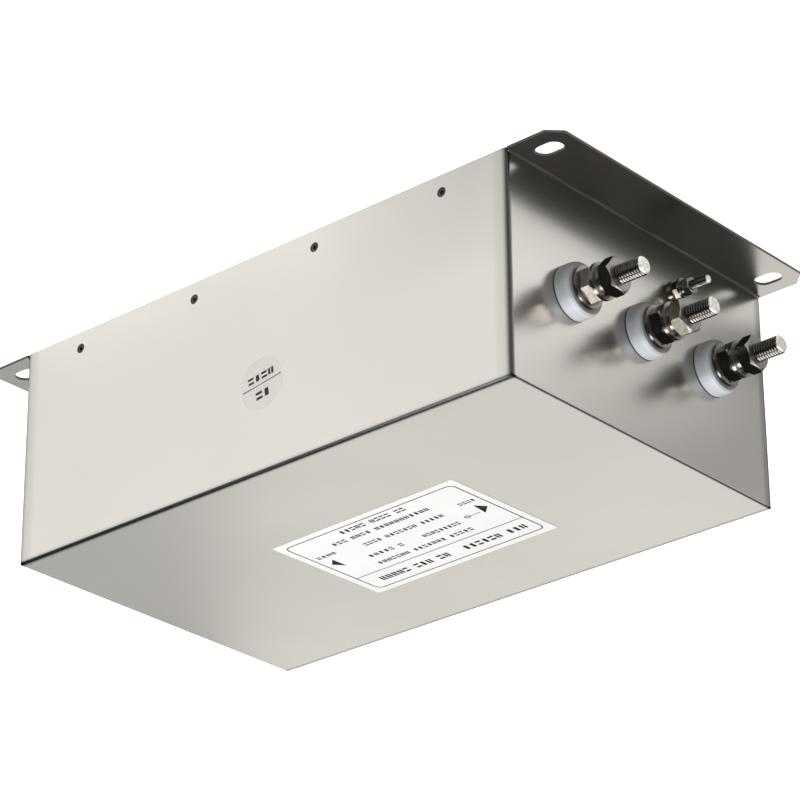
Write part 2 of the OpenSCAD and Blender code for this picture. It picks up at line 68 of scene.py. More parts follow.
def new_material(name):
    mat = bpy.data.materials.new(name)
    mat.use_nodes = True
    tree = mat.node_tree
    tree.nodes.clear()
    out = tree.nodes.new("ShaderNodeOutputMaterial")
    bsdf = tree.nodes.new("ShaderNodeBsdfPrincipled")
    tree.links.new(bsdf.outputs[0], out.inputs[0])
    return mat, tree, bsdf


def connect(tree, bsdf, colour, rough):
    tree.links.new(colour, bsdf.inputs["Base Color"])
    tree.links.new(rough, bsdf.inputs["Roughness"])


def noise(tree, scale, stretch=(1, 1, 1), detail=3.0):
    """Noise in object space; scale is in features per metre, stretch multiplies it per axis."""
    coord = tree.nodes.new("ShaderNodeTexCoord")
    mapping = tree.nodes.new("ShaderNodeMapping")
    mapping.inputs["Scale"].default_value = [scale * s for s in stretch]
    tex = tree.nodes.new("ShaderNodeTexNoise")
    tex.inputs["Scale"].default_value = 1.0
    tex.inputs["Detail"].default_value = detail
    tex.inputs["Roughness"].default_value = 0.5
    tree.links.new(coord.outputs["Object"], mapping.inputs[0])
    tree.links.new(mapping.outputs[0], tex.inputs["Vector"])
    return tex.outputs[0]


def span(tree, value, low, high, from_low=0.3, from_high=0.7):
    """From low to high while the value runs from from_low to from_high, and flat outside that."""
    node = tree.nodes.new("ShaderNodeMapRange")
    node.inputs[1].default_value = from_low
    node.inputs[2].default_value = from_high
    node.inputs[3].default_value = low
    node.inputs[4].default_value = high
    tree.links.new(value, node.inputs[0])
    return node.outputs[0]


def mix(tree, factor, a, b):
    """Colour a where the factor is 0 and b where it is 1; each is a colour or a socket."""
    node = tree.nodes.new("ShaderNodeMix")
    node.data_type = "RGBA"
    tree.links.new(factor, node.inputs[0])
    for socket, value in ((node.inputs[6], a), (node.inputs[7], b)):
        if isinstance(value, tuple):
            socket.default_value = (*value, 1)
        else:
            tree.links.new(value, socket)
    return node.outputs[2]


def bump(tree, bsdf, height, strength, distance):
    node = tree.nodes.new("ShaderNodeBump")
    node.inputs["Strength"].default_value = strength
    node.inputs["Distance"].default_value = distance
    tree.links.new(height, node.inputs["Height"])
    tree.links.new(node.outputs[0], bsdf.inputs["Normal"])


def calc(tree, operation, *values):
    node = tree.nodes.new("ShaderNodeMath")
    node.operation = operation
    for k, value in enumerate(values):
        if isinstance(value, (int, float)):
            node.inputs[k].default_value = value
        else:
            tree.links.new(value, node.inputs[k])
    return node.outputs[0]


def times(tree, first, *others):
    for value in others:
        first = calc(tree, "MULTIPLY", first, value)
    return first


def only_on(tree, mask, tone):
    """The tone where the mask is 1, and 1 where the mask is 0."""
    return calc(tree, "SUBTRACT", 1.0, times(tree, calc(tree, "SUBTRACT", 1.0, tone), mask))


def axes(tree, output):
    coord = tree.nodes.new("ShaderNodeTexCoord")
    split = tree.nodes.new("ShaderNodeSeparateXYZ")
    tree.links.new(coord.outputs[output], split.inputs[0])
    return split.outputs


def upward(tree):
    """0 where the surface faces straight down, 1 where it faces straight up."""
    return calc(tree, "MULTIPLY_ADD", axes(tree, "Normal")[2], 0.5, 0.5)


def ramp(tree, value, stops):
    """Grey tone from stops of (value, tone), linear between them."""
    node = tree.nodes.new("ShaderNodeValToRGB")
    tree.links.new(value, node.inputs[0])
    band = node.color_ramp
    while len(band.elements) < len(stops):
        band.elements.new(0.5)
    for element, (at, tone) in zip(band.elements, stops):
        element.position = at
        element.color = (tone, tone, tone, 1)
    return node.outputs[0]


# ---------------------------------------------------------------- painted shade on the sheet

# millimetres from the middle of a bend, and the painted shade there; + is the long wall's side
CORNER_PAINTED_SHADE = [(-2.4, 1.0), (-1.6, 0.28), (-0.8, 0.10), (0.4, 0.08), (1.2, 0.30), (2.0, 0.60),
               (3.0, 0.84), (6.2, 0.92), (8.0, 1.0)]
EDGE_PAINTED_SHADE = [(-3.6, 1.0), (-3.0, 0.88), (-2.0, 0.42), (-1.2, 0.18), (-0.5, 0.14), (0.2, 0.14),
             (0.6, 0.38), (1.0, 0.95), (1.2, 1.0)]
# the two lists above are read over this width, on points this close to either face
FOLD_SPAN = 20.0
FOLD_DEPTH = 1.0
# painted shade on the end walls, read from 0 at 6 mm before the +Y bend to 1 on it
FAR_EDGE_PAINTED_SHADE = [(0.0, 1.0), (0.35, 0.68), (0.80, 0.58), (1.0, 0.25)]
FAR_EDGE_REACH = 6.0
# a point no deeper than this lies on the wall itself
SKIN = 0.6
# painted shade on the long walls low down: what they lose, up to this height and between these x
FOOT_PAINTED_SHADE = 0.28
FOOT_HEIGHT = 50.0
FOOT_ALONG = (-115.0, -35.0)
CUT_EDGE_LOSS = 0.86


def bend_painted_shade(tree, a, b, stops):
    """Painted shade across one bend: a - b runs from one face over the bend to the other."""
    across = calc(tree, "DIVIDE", calc(tree, "SUBTRACT", a, b), FOLD_SPAN * MM)
    tone = ramp(tree, calc(tree, "ADD", across, 0.5),
                [(0.5 + mm / FOLD_SPAN, value) for mm, value in stops])
    by_face = calc(tree, "LESS_THAN", calc(tree, "MINIMUM", a, b), FOLD_DEPTH * MM)
    return only_on(tree, by_face, tone)


def far_edge_painted_shade(tree, to_end, y):
    """Painted shade on the end walls close to their +Y bend, as in the photo."""
    by_bend = span(tree, y, 0.0, 1.0, (SIDE_Y - FAR_EDGE_REACH) * MM, SIDE_Y * MM)
    on_wall = calc(tree, "LESS_THAN", to_end, SKIN * MM)
    return only_on(tree, on_wall, ramp(tree, by_bend, FAR_EDGE_PAINTED_SHADE))


def foot_painted_shade(tree, to_side, x, z):
    """A little painted shade on the long walls low down by the LINE end, as in the photo."""
    low = span(tree, z, 1.0, 0.0, 0.0, FOOT_HEIGHT * MM)
    by_end = span(tree, x, 1.0, 0.0, *(at * MM for at in FOOT_ALONG))
    on_wall = calc(tree, "LESS_THAN", to_side, SKIN * MM)
    return calc(tree, "MULTIPLY_ADD", times(tree, low, by_end, on_wall), -FOOT_PAINTED_SHADE, 1.0)


def case_painted_shade(tree):
    """Painted shade: 1 on the open sheet, less along its bent edges and low on the long walls, as
    in the photo.
    """
    x, y, z = axes(tree, "Object")
    to_end = calc(tree, "SUBTRACT", WALL_X * MM, calc(tree, "ABSOLUTE", x))
    to_side = calc(tree, "SUBTRACT", SIDE_Y * MM, calc(tree, "ABSOLUTE", y))
    to_top = calc(tree, "SUBTRACT", TOP_Z * MM, z)
    return times(tree, bend_painted_shade(tree, to_end, to_side, CORNER_PAINTED_SHADE),
                 bend_painted_shade(tree, to_top, to_side, EDGE_PAINTED_SHADE),
                 far_edge_painted_shade(tree, to_end, y), foot_painted_shade(tree, to_side, x, z))


def cut_edge_tone(tree):
    """Less on the sheared edges of the flanges and in their slots than on the rolled faces."""
    upright = calc(tree, "LESS_THAN", calc(tree, "ABSOLUTE", axes(tree, "Normal")[2]), 0.5)
    low = calc(tree, "LESS_THAN", axes(tree, "Object")[2], (SHEET + 0.1) * MM)
    sheared = times(tree, upright, low)
    return calc(tree, "SUBTRACT", 1.0, times(tree, sheared, CUT_EDGE_LOSS))


# ---------------------------------------------------------------- materials

SHEET_ROUGH = 0.24
SHEET_GRAIN = (0.15, 4.0, 4.0)
BLACK = (0.0, 0.0, 0.0)
# how far up the surface faces, from 0 to 1, and the painted shade there
COLLAR_PAINTED_SHADE = [(0.08, 0.30), (0.45, 0.36), (0.75, 0.54), (0.92, 0.92)]
THREAD_PAINTED_SHADE = [(0.30, 0.28), (0.55, 0.34), (0.66, 0.55), (0.75, 1.0)]
# painted shade on the collars' faces square to the X axis
COLLAR_FRONT_PAINTED_SHADE = 0.55
# what a face square to the X axis adds to the roughness of a turned piece
TURNED_DULL = 0.22


def sheet_steel(name, light, dark, edge_tone):
    """Plated sheet: a satin sheen, faint rolling marks along the case and handling haze."""
    mat, tree, bsdf = new_material(name)
    haze = noise(tree, 9.0, detail=4.0)
    streak = noise(tree, 60.0, SHEET_GRAIN, detail=5.0)
    scaled = tree.nodes.new("ShaderNodeVectorMath")
    scaled.operation = "SCALE"
    tree.links.new(mix(tree, span(tree, haze, 0, 1), light, dark), scaled.inputs[0])
    # edge_tone scales the colour; on the case it is painted shade along the bends and low on the
    # long walls
    tree.links.new(edge_tone(tree), scaled.inputs["Scale"])
    bsdf.inputs["Metallic"].default_value = 1.0
    connect(tree, bsdf, scaled.outputs[0],
            span(tree, haze, SHEET_ROUGH - 0.02, SHEET_ROUGH + 0.03))
    bump(tree, bsdf, streak, 0.02, 0.00005)
    return mat


def plating(name, light, dark, rough, scale=400.0):
    """Metal with fine tool marks; gives the tone and roughness sockets of its duller patches."""
    mat, tree, bsdf = new_material(name)
    patch = noise(tree, scale)
    bsdf.inputs["Metallic"].default_value = 1.0
    bump(tree, bsdf, noise(tree, scale * 6, detail=2.0), 0.10, 0.00004)
    tone = mix(tree, span(tree, patch, 0, 1), light, dark)
    return mat, tree, bsdf, tone, span(tree, patch, rough - 0.04, rough + 0.06)


def plated_metal(name, light, dark, rough, scale=400.0):
    mat, tree, bsdf, tone, dull = plating(name, light, dark, rough, scale)
    connect(tree, bsdf, tone, dull)
    return mat


def thread_metal(name, light, dark, rough):
    """Plated threads with painted shade: darker the more the surface faces down."""
    mat, tree, bsdf, tone, dull = plating(name, light, dark, rough)
    connect(tree, bsdf, mix(tree, ramp(tree, upward(tree), THREAD_PAINTED_SHADE), BLACK, tone), dull)
    return mat


def turned_metal(name, light, dark, cut, rough):
    """Bar-turned hardware: dark plated flats, and paler, rougher faces square to the X axis."""
    mat, tree, bsdf, tone, dull = plating(name, light, dark, rough)
    along = calc(tree, "ABSOLUTE", axes(tree, "Normal")[0])
    face = span(tree, along, 0.0, 1.0, 0.55, 0.8)
    connect(tree, bsdf, mix(tree, face, tone, cut),
            calc(tree, "MULTIPLY_ADD", face, TURNED_DULL, dull))
    return mat


def plastic(name, colour, shade, rough, grain=0.08):
    """Moulded or coated surface with a fine grain and slight tone changes."""
    mat, tree, bsdf = new_material(name)
    tone = noise(tree, 60.0)
    connect(tree, bsdf, mix(tree, span(tree, tone, 0, 1), colour, shade),
            span(tree, tone, rough - 0.03, rough + 0.05))
    bump(tree, bsdf, noise(tree, 2400.0, detail=2.0), grain, 0.00005)
    return mat


def collar_plastic(name, colour, shade):
    """White moulding with a satin grain, and painted shade: greyer on its under side and on its
    front face.
    """
    mat, tree, bsdf = new_material(name)
    facing = calc(tree, "ABSOLUTE", axes(tree, "Normal")[0])
    front = span(tree, facing, 1.0, COLLAR_FRONT_PAINTED_SHADE, 0.45, 0.9)
    # painted shade by how the surface faces, laid over the white
    painted_collar_shade = times(tree, ramp(tree, upward(tree), COLLAR_PAINTED_SHADE), front)
    white = mix(tree, span(tree, noise(tree, 60.0), 0, 1), colour, shade)
    tree.links.new(mix(tree, painted_collar_shade, BLACK, white), bsdf.inputs["Base Color"])
    bsdf.inputs["Roughness"].default_value = 0.45
    bump(tree, bsdf, noise(tree, 2400.0, detail=2.0), 0.08, 0.00005)
    return mat


def ink(name):
    mat, tree, bsdf = new_material(name)
    tone = span(tree, noise(tree, 900.0, detail=2.0), 0, 1)
    tree.links.new(mix(tree, tone, (0.012, 0.012, 0.013), (0.03, 0.03, 0.03)),
                   bsdf.inputs["Base Color"])
    bsdf.inputs["Roughness"].default_value = 0.7
    bsdf.inputs["Specular IOR Level"].default_value = 0.12
    return mat


def clear_film(name, colour, alpha):
    """The clear sticker: mostly see-through, with a faint milky surface."""
    mat, tree, bsdf = new_material(name)
    tone = noise(tree, 250.0)
    milky = mix(tree, span(tree, tone, 0, 1), colour, tuple(0.95 * c for c in colour))
    connect(tree, bsdf, milky, span(tree, tone, 0.30, 0.42))
    bsdf.inputs["Alpha"].default_value = alpha
    return mat


# maker, slot, and the values that the maker takes
MATERIALS = [
    # the case's colour carries painted shade along its bends and low on its long walls
    (sheet_steel, "case_steel", (0.45, 0.44, 0.42), (0.43, 0.42, 0.40), case_painted_shade),
    (sheet_steel, "base_steel", (0.45, 0.44, 0.42), (0.42, 0.41, 0.39), cut_edge_tone),
    (thread_metal, "stud_nickel", (0.13, 0.12, 0.11), (0.08, 0.074, 0.068), 0.18),
    (turned_metal, "washer_nickel", (0.17, 0.155, 0.14), (0.11, 0.10, 0.09),
     (0.24, 0.23, 0.215), 0.20),
    (turned_metal, "nut_nickel", (0.12, 0.111, 0.102), (0.07, 0.064, 0.058),
     (0.20, 0.193, 0.182), 0.15),
    (plated_metal, "spring_steel", (0.16, 0.15, 0.14), (0.10, 0.095, 0.085), 0.22),
    (plated_metal, "cut_steel", (0.70, 0.69, 0.66), (0.34, 0.33, 0.31), 0.50, 900.0),
    (plated_metal, "black_finish", (0.05, 0.05, 0.05), (0.03, 0.03, 0.03), 0.35),
    (plated_metal, "tinned_copper", (0.70, 0.69, 0.66), (0.58, 0.57, 0.55), 0.30),
    (plated_metal, "core_ribbon", (0.25, 0.26, 0.28), (0.20, 0.21, 0.23), 0.35),
    (plated_metal, "zinc_steel", (0.56, 0.56, 0.55), (0.46, 0.46, 0.46), 0.30),
    (plastic, "label", (0.97, 0.97, 0.96), (0.95, 0.95, 0.94), 0.42, 0.02),
    (plastic, "board_laminate", (0.03, 0.16, 0.06), (0.02, 0.12, 0.05), 0.35),
    (plastic, "film_capacitor", (0.62, 0.42, 0.06), (0.56, 0.37, 0.05), 0.30),
    (plastic, "earth_capacitor", (0.04, 0.09, 0.32), (0.03, 0.07, 0.27), 0.30),
    (plastic, "resistor_body", (0.42, 0.32, 0.20), (0.36, 0.27, 0.17), 0.50),
    (plastic, "case_plastic", (0.74, 0.71, 0.60), (0.68, 0.65, 0.55), 0.50),
    (plastic, "enamelled_copper", (0.45, 0.13, 0.03), (0.38, 0.10, 0.02), 0.22),
    (plastic, "pad_felt", (0.10, 0.11, 0.10), (0.07, 0.08, 0.07), 0.85),
    (plastic, "clamp_laminate", (0.36, 0.26, 0.09), (0.30, 0.22, 0.08), 0.40),
    (collar_plastic, "collar_plastic", (0.50, 0.525, 0.55), (0.46, 0.485, 0.51)),
    (clear_film, "clear_film", (0.62, 0.61, 0.59), 0.06),
    (ink, "ink"),
]


def build_materials():
    return {slot: maker(slot, *values) for maker, slot, *values in MATERIALS}


# ---------------------------------------------------------------- mesh helpers

def smoothen(mesh, angle):
    """Shade smoothly, except over edges sharper than this many degrees."""
    mesh.shade_smooth()
    mesh.set_sharp_from_angle(angle=math.radians(angle))


def mesh_object(name, points, faces, mat):
    mesh = bpy.data.meshes.new(name)
    mesh.from_pydata(points, [], faces)
    mesh.update()
    mesh.materials.append(mat)
    obj = bpy.data.objects.new(name, mesh)
    bpy.context.scene.collection.objects.link(obj)
    return obj


def slab(name, outline, place, low, high, mat):
    """A flat piece with the given outline, from low to high above its carrier."""
    n = len(outline)
    points = [place(x, y, low) for x, y in outline] + [place(x, y, high) for x, y in outline]
    faces = [tuple(reversed(range(n))), tuple(range(n, 2 * n))]
    faces += [(k, (k + 1) % n, n + (k + 1) % n, n + k) for k in range(n)]
    return mesh_object(name, points, faces, mat)


def circle(radius, steps):
    return [(radius * math.cos(2 * math.pi * k / steps), radius * math.sin(2 * math.pi * k / steps))
            for k in range(steps)]


def join_points(mesh):
    """Join coincident points, which also drops the faces without area."""
    work = bmesh.new()
    work.from_mesh(mesh)
    bmesh.ops.remove_doubles(work, verts=work.verts, dist=1e-7)
    work.to_mesh(mesh)
    work.free()


def dress(obj):
    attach(obj, "root")
    return obj


# ---------------------------------------------------------------- threaded studs

# outside diameter, just inside the solid's; pitch; length of the chamfer at the tip
M8 = (7.96, 1.25, 0.9)
M4 = (3.96, 0.7, 0.5)
# one turn of the thread, its flanks a little flatter than a new one's: share of the pitch, and
# share of the depth cut away there
THREAD_FORM = [(0.0, 0.0), (0.125, 0.0), (0.4375, 1.0), (0.6875, 1.0)]
# depth as a share of the pitch, chosen against the photo; a real thread has 0.61
THREAD_DEPTH = 0.34
THREAD_STARTS = 2.0


def helix_rows(pitch, turns):
    """Heights above the start of the thread and depths of cut, row by row along the helix."""
    return [(pitch * (turn + at), THREAD_DEPTH * pitch * cut)
            for turn in range(-1, turns) for at, cut in THREAD_FORM]


def rod_points(thread, length, thread_from, sides):
    """Radius, step round the rod and height of each point, row by row from its plain end."""
    diameter, pitch, tip = thread
    crest = diameter / 2
    points = [(r, s, z) for z, r in ((0.0, crest - tip), (tip, crest), (thread_from, crest))
              for s in range(sides + 1)]
    for z, cut in helix_rows(pitch, int((length - thread_from) / pitch) + 2):
        for s in range(sides + 1):
            at = min(max(thread_from + z + pitch * s / sides, thread_from), length)
            points.append((min(crest - cut, crest - tip + length - at), s, at))
    return points


def threaded_rod(name, thread, length, thread_from, place, mats, sides):
    """A stud along +Z from 0 to length, threaded from thread_from to its chamfered tip, in mm."""
    points = rod_points(thread, length, thread_from, sides)
    step = sides + 1
    faces = [(k + s, k + s + 1, k + step + s + 1, k + step + s)
             for k in range(0, len(points) - step, step) for s in range(sides)]
    last = len(points) - step
    faces += [tuple(reversed(range(sides))), tuple(last + s for s in range(sides))]
    turned = [Vector((r * math.cos(2 * math.pi * s / sides), r * math.sin(2 * math.pi * s / sides),
                      z)) for r, s, z in points]
    rod = mesh_object(name, [tuple(place @ (p * MM)) for p in turned], faces, mats["stud_nickel"])
    join_points(rod.data)
    smoothen(rod.data, 35)
    rod.data.materials.append(mats["cut_steel"])
    back = place.inverted()
    for face in rod.data.polygons:
        if (back @ face.center).z > (length - 0.8 * thread[2]) * MM:
            face.material_index = 1
    return rod


def end_frame(side, y, z, inside):
    """Local +Z leaves the case at the end wall; local zero lies inside by that many mm."""
    turn = Matrix.Rotation(side * math.pi / 2, 4, "Y")
    return Matrix.Translation(Vector((side * (WALL_X - inside), y, z)) * MM) @ turn


def build_studs(mats):
    rods = []
    for end, side in (("line", -1), ("load", 1)):
        for i in (1, 2, 3):
            place = end_frame(side, (i - 2) * STUD_PITCH, STUD_Z, STUD_IN)
            rod = threaded_rod(f"{end}_thread_{i}", M8, STUD_IN + STUD_OUT,
                               STUD_IN + THREAD_STARTS, place, mats, 48)
            rods.append(dress(rod))
            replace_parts(rod, f"{end}_stud_{i}")
    return rods


def build_earth_studs(mats):
    """Earth screws: a hexagon head inside the wall and a threaded shank out through it."""
    rods = []
    for end, side in (("line", -1), ("load", 1)):
        node = f"ground_stud_{end}"
        place = end_frame(side, EARTH_Y, EARTH_Z, EARTH_IN)
        rod = threaded_rod(f"{end}_earth_thread", M4, EARTH_IN + EARTH_OUT, EARTH_IN, place,
                           mats, 28)
        rods.append(dress(rod))
        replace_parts(rod, node)
        head = slab(f"{end}_earth_head", circle(EARTH_HEAD_R, 6),
                    lambda x, y, z: tuple(place @ (Vector((x, y, z)) * MM)), -EARTH_HEAD_T, 0.0,
                    mats["stud_nickel"])
        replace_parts(dress(head), node)
    return rods


FOOT_RADIUS = 1.0
FOOT_STEPS = 6


def build_fold_lines(mats):
    """The hollow line of 1 mm radius along the foot of each end wall, where the flange starts."""
    profile = [(0.0, 0.0)]
    for k in range(FOOT_STEPS + 1):
        a = math.pi / 2 * k / FOOT_STEPS
        profile.append((FOOT_RADIUS * (1 - math.sin(a)), FOOT_RADIUS * (1 - math.cos(a))))
    half = SIDE_Y - FOOT_RADIUS
    n = len(profile)
    faces = [(k, (k + 1) % n, n + (k + 1) % n, n + k) for k in range(n)]
    faces += [tuple(range(n)), tuple(reversed(range(n, 2 * n)))]
    strips = []
    for end, side in (("line", -1), ("load", 1)):
        points = [(side * (WALL_X + out) * MM, y * MM, (SHEET + up) * MM)
                  for y in (-half, half) for out, up in profile]
        strip = mesh_object(f"{end}_fold_line", points, faces, mats["base_steel"])
        smoothen(strip.data, 40)
        strips.append(dress(strip))
    return strips


# ---------------------------------------------------------------- printed label

LABEL_MID = (-7.5, 7.0)
LABEL_TURN = math.radians(1.6)
LABEL_SIZE = (102.0, 66.0)
LABEL_CORNER = 1.0
LABEL_FILM = 0.12
INK_AT = 0.16
BORDER_INSET = 3.7
BORDER_CORNER = 3.0
# below the border's upper line
RULE_DROP = 14.5
HEADING_RISE = 7.4
HEADING = [(-43, -8, [3, 6], 3), (0, 40, [2, 3, 5], 4)]
# from x to x, y, height of the bars, lengths of the groups, seed
LABEL_ROWS = [
    (-25, 29, 9.0, 2.6, [5, 7, 7], 11),
    (-25, -4, 1.0, 2.6, [9], 12),
    (7, 27, 1.0, 2.6, [1, 5], 13),
    (-25, 20, -9.5, 2.6, [5, 7, 4], 14),
    (-25, 30, -18.3, 2.6, [11, 4, 3], 15),
    (-18, 19, -25.3, 3.0, [2, 4, 5], 16),
    (-45, -36, -12.4, 2.2, [4], 17),
    (34, 45, -12.1, 2.2, [4], 18),
]
ARROWS = [[(40.4, -7.5), (40.2, 1.2), (44.2, -3.6)], [(-40.4, -8.0), (-39.3, 0.9), (-44.3, -3.5)]]
# a short line that ends in a small ring
SYMBOL_LINE = ((-38, -1.0), (-30, -1.0))
SYMBOL_RING = ((-31, -1.0), 1.3)


def on_label(x, y, z):
    """Label coordinates, with x along the case and y across it, to the row frame in metres."""
    c, s = math.cos(LABEL_TURN), math.sin(LABEL_TURN)
    return ((LABEL_MID[0] + c * x - s * y) * MM, (LABEL_MID[1] + s * x + c * y) * MM,
            (TOP_Z + z) * MM)


class Print:
    """Collects flat ink shapes; place maps (x, y) on the carrier to the row frame."""

    def __init__(self, place):
        self.place = place
        self.points = []
        self.faces = []

    def shape(self, outline):
        first = len(self.points)
        self.points += [self.place(x, y) for x, y in outline]
        self.faces.append(tuple(range(first, first + len(outline))))

    def bar(self, x0, y0, x1, y1):
        self.shape([(x0, y0), (x1, y0), (x1, y1), (x0, y1)])

    def stroke(self, a, b, width):
        d = Vector((b[0] - a[0], b[1] - a[1]))
        n = Vector((-d.y, d.x)).normalized() * width / 2
        self.shape([(a[0] - n.x, a[1] - n.y), (b[0] - n.x, b[1] - n.y),
                    (b[0] + n.x, b[1] + n.y), (a[0] + n.x, a[1] + n.y)])

    def loop(self, outline, width):
        for k, a in enumerate(outline):
            self.stroke(a, outline[(k + 1) % len(outline)], width)

    def blocks(self, x0, x1, y, height, lengths, seed):
        """A row of plain blocks and bars, grouped like words but with no letter among them."""
        rng = random.Random(seed)
        gap = 0.9
        unit = (x1 - x0) / (sum(lengths) + gap * (len(lengths) - 1))
        x = x0
        for length in lengths:
            for _ in range(length):
                self.block(rng.randrange(3), x, unit, y, height)
                x += unit
            x += gap * unit

    def block(self, kind, x, unit, y, height):
        """Two upright bars, two level bars or one broad upright bar."""
        low, high = y - height / 2, y + height / 2
        if kind == 0:
            self.bar(x + 0.12 * unit, low, x + 0.42 * unit, high)
            self.bar(x + 0.58 * unit, low, x + 0.88 * unit, high)
        elif kind == 1:
            self.bar(x + 0.10 * unit, low, x + 0.90 * unit, low + 0.32 * height)
            self.bar(x + 0.10 * unit, high - 0.32 * height, x + 0.90 * unit, high)
        else:
            self.bar(x + 0.26 * unit, low, x + 0.74 * unit, high)

    def finish(self, name, mats):
        return dress(mesh_object(name, self.points, self.faces, mats["ink"]))


def rounded(w, h, r, steps=6):
    corners = [(1, 1, 0), (-1, 1, 90), (-1, -1, 180), (1, -1, 270)]
    return [
        (sx * (w / 2 - r) + r * math.cos(math.radians(a0 + 90 * k / steps)),
         sy * (h / 2 - r) + r * math.sin(math.radians(a0 + 90 * k / steps)))
        for sx, sy, a0 in corners for k in range(steps + 1)
    ]


def build_label(mats):
    film = slab("label_film", rounded(*LABEL_SIZE, LABEL_CORNER), on_label, 0.0, LABEL_FILM,
                mats["label"])
    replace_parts(dress(film), "rating_label")

    p = Print(lambda x, y: on_label(x, y, INK_AT))
    w, h = (side - 2 * BORDER_INSET for side in LABEL_SIZE)
    p.loop(rounded(w, h, BORDER_CORNER), 0.55)
    rule = h / 2 - RULE_DROP
    p.stroke((-w / 2, rule), (w / 2, rule), 0.45)
    for arrow in ARROWS:
        p.shape(arrow)
    for x0, x1, lengths, seed in HEADING:
        p.blocks(x0, x1, rule + HEADING_RISE, 4.0, lengths, seed)
    for row in LABEL_ROWS:
        p.blocks(*row)
    p.stroke(*SYMBOL_LINE, 0.4)
    (x, y), radius = SYMBOL_RING
    p.loop([(x + dx, y + dy) for dx, dy in circle(radius, 8)], 0.4)
    return [film, p.finish("label_print", mats)]


# ---------------------------------------------------------------- round sticker

STICKER_MID = (-5.5, 60.5)
STICKER_TURN = math.radians(8.5)
STICKER_R = 11.7
STICKER_FILM = (0.01, 0.06)
STICKER_INK_AT = 0.085


def on_side(x, y, out):
    """Sticker coordinates to the row frame: x along the case, y up the long wall."""
    c, s = math.cos(STICKER_TURN), math.sin(STICKER_TURN)
    return ((STICKER_MID[0] + c * x - s * y) * MM, -(SIDE_Y + out) * MM,
            (STICKER_MID[1] + s * x + c * y) * MM)


def build_sticker(mats):
    """A clear disc with a rule across it and a short row of bars on each side of the rule."""
    film = slab("sticker_film", circle(STICKER_R, 64), on_side, *STICKER_FILM, mats["clear_film"])
    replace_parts(dress(film), "round_sticker")
    p = Print(lambda x, y: on_side(x, y, STICKER_INK_AT))
    p.stroke((-10.6, 0), (10.6, 0), 0.28)
    p.blocks(-4.2, 4.2, 4.8, 3.4, [2], 24)
    p.blocks(-7.4, 7.4, -3.5, 2.9, [4], 21)
    p.finish("sticker_print", mats)


# ---------------------------------------------------------------- frame

def dress_frame(mats):
    """Give every CAD node its slot's material and shade its round surfaces smoothly."""
    slots = {s["node"]: s["material_slot"] for s in frame["record"]["subparts"]}
    for name, obj in frame["nodes"].items():
        obj.data.materials.clear()
        obj.data.materials.append(mats[slots[name]])
        smoothen(obj.data, 32)


# ---------------------------------------------------------------- studio

WORLD_COLOUR = (1.0, 0.95, 0.88, 1)
WORLD_STRENGTH = 0.125

# how strongly the floor glows on the LOAD side, by the LINE end and in the fade beyond it
GLOW = 0.72
GLOW_BY_LINE_END = 0.98
GLOW_BEYOND = 0.09
FLOOR_HALF = 6.0
# floor distances in metres; reach is the distance from the origin along this direction
TOWARDS_LINE_END = (-0.817, 0.577, 0.0)
GLOW_GROWS = (0.0, 0.13)
# the fade past the far corner deepens over the first two and ends over the last two
PAST_REACH = (0.178, 0.215)
PAST_Y = (0.02, 0.195)
FADE_ENDS_REACH = (0.40, 0.70)
FADE_ENDS_Y = (0.25, 0.50)
# painted shadow next to the far corner: darker paper, and less glow
PAINTED_SHADOW_REACH = (0.178, 0.200)
PAINTED_SHADOW_Y = (0.03, 0.09)
PAINTED_SHADOW_X = (-0.215, -0.180)


def build_world():
    world = bpy.data.worlds.new("studio")
    bpy.context.scene.world = world
    world.use_nodes = True
    tree = world.node_tree
    tree.nodes.clear()
    out = tree.nodes.new("ShaderNodeOutputWorld")
    back = tree.nodes.new("ShaderNodeBackground")
    back.inputs[0].default_value = WORLD_COLOUR
    back.inputs[1].default_value = WORLD_STRENGTH
    tree.links.new(back.outputs[0], out.inputs[0])


def floor_zones(tree):
    """Reach of a floor point; 0 to 1 past the far corner; 0 to 1 in the painted shadow next to that
    corner.
    """
    coord = tree.nodes.new("ShaderNodeTexCoord")
    across = tree.nodes.new("ShaderNodeVectorMath")
    across.operation = "DOT_PRODUCT"
    across.inputs[1].default_value = TOWARDS_LINE_END
    tree.links.new(coord.outputs["Object"], across.inputs[0])
    reach = across.outputs["Value"]
    x, y, _ = axes(tree, "Object")
    close = times(tree, span(tree, reach, 1.0, 0.0, *FADE_ENDS_REACH),
                  span(tree, y, 1.0, 0.0, *FADE_ENDS_Y))
    past = times(tree, span(tree, reach, 0.0, 1.0, *PAST_REACH),
                 span(tree, y, 0.0, 1.0, *PAST_Y), close)
    painted_shadow = times(tree, span(tree, reach, 0.0, 1.0, *PAINTED_SHADOW_REACH),
                   span(tree, y, 0.0, 1.0, *PAINTED_SHADOW_Y), span(tree, x, 0.0, 1.0, *PAINTED_SHADOW_X), close)
    return reach, past, painted_shadow


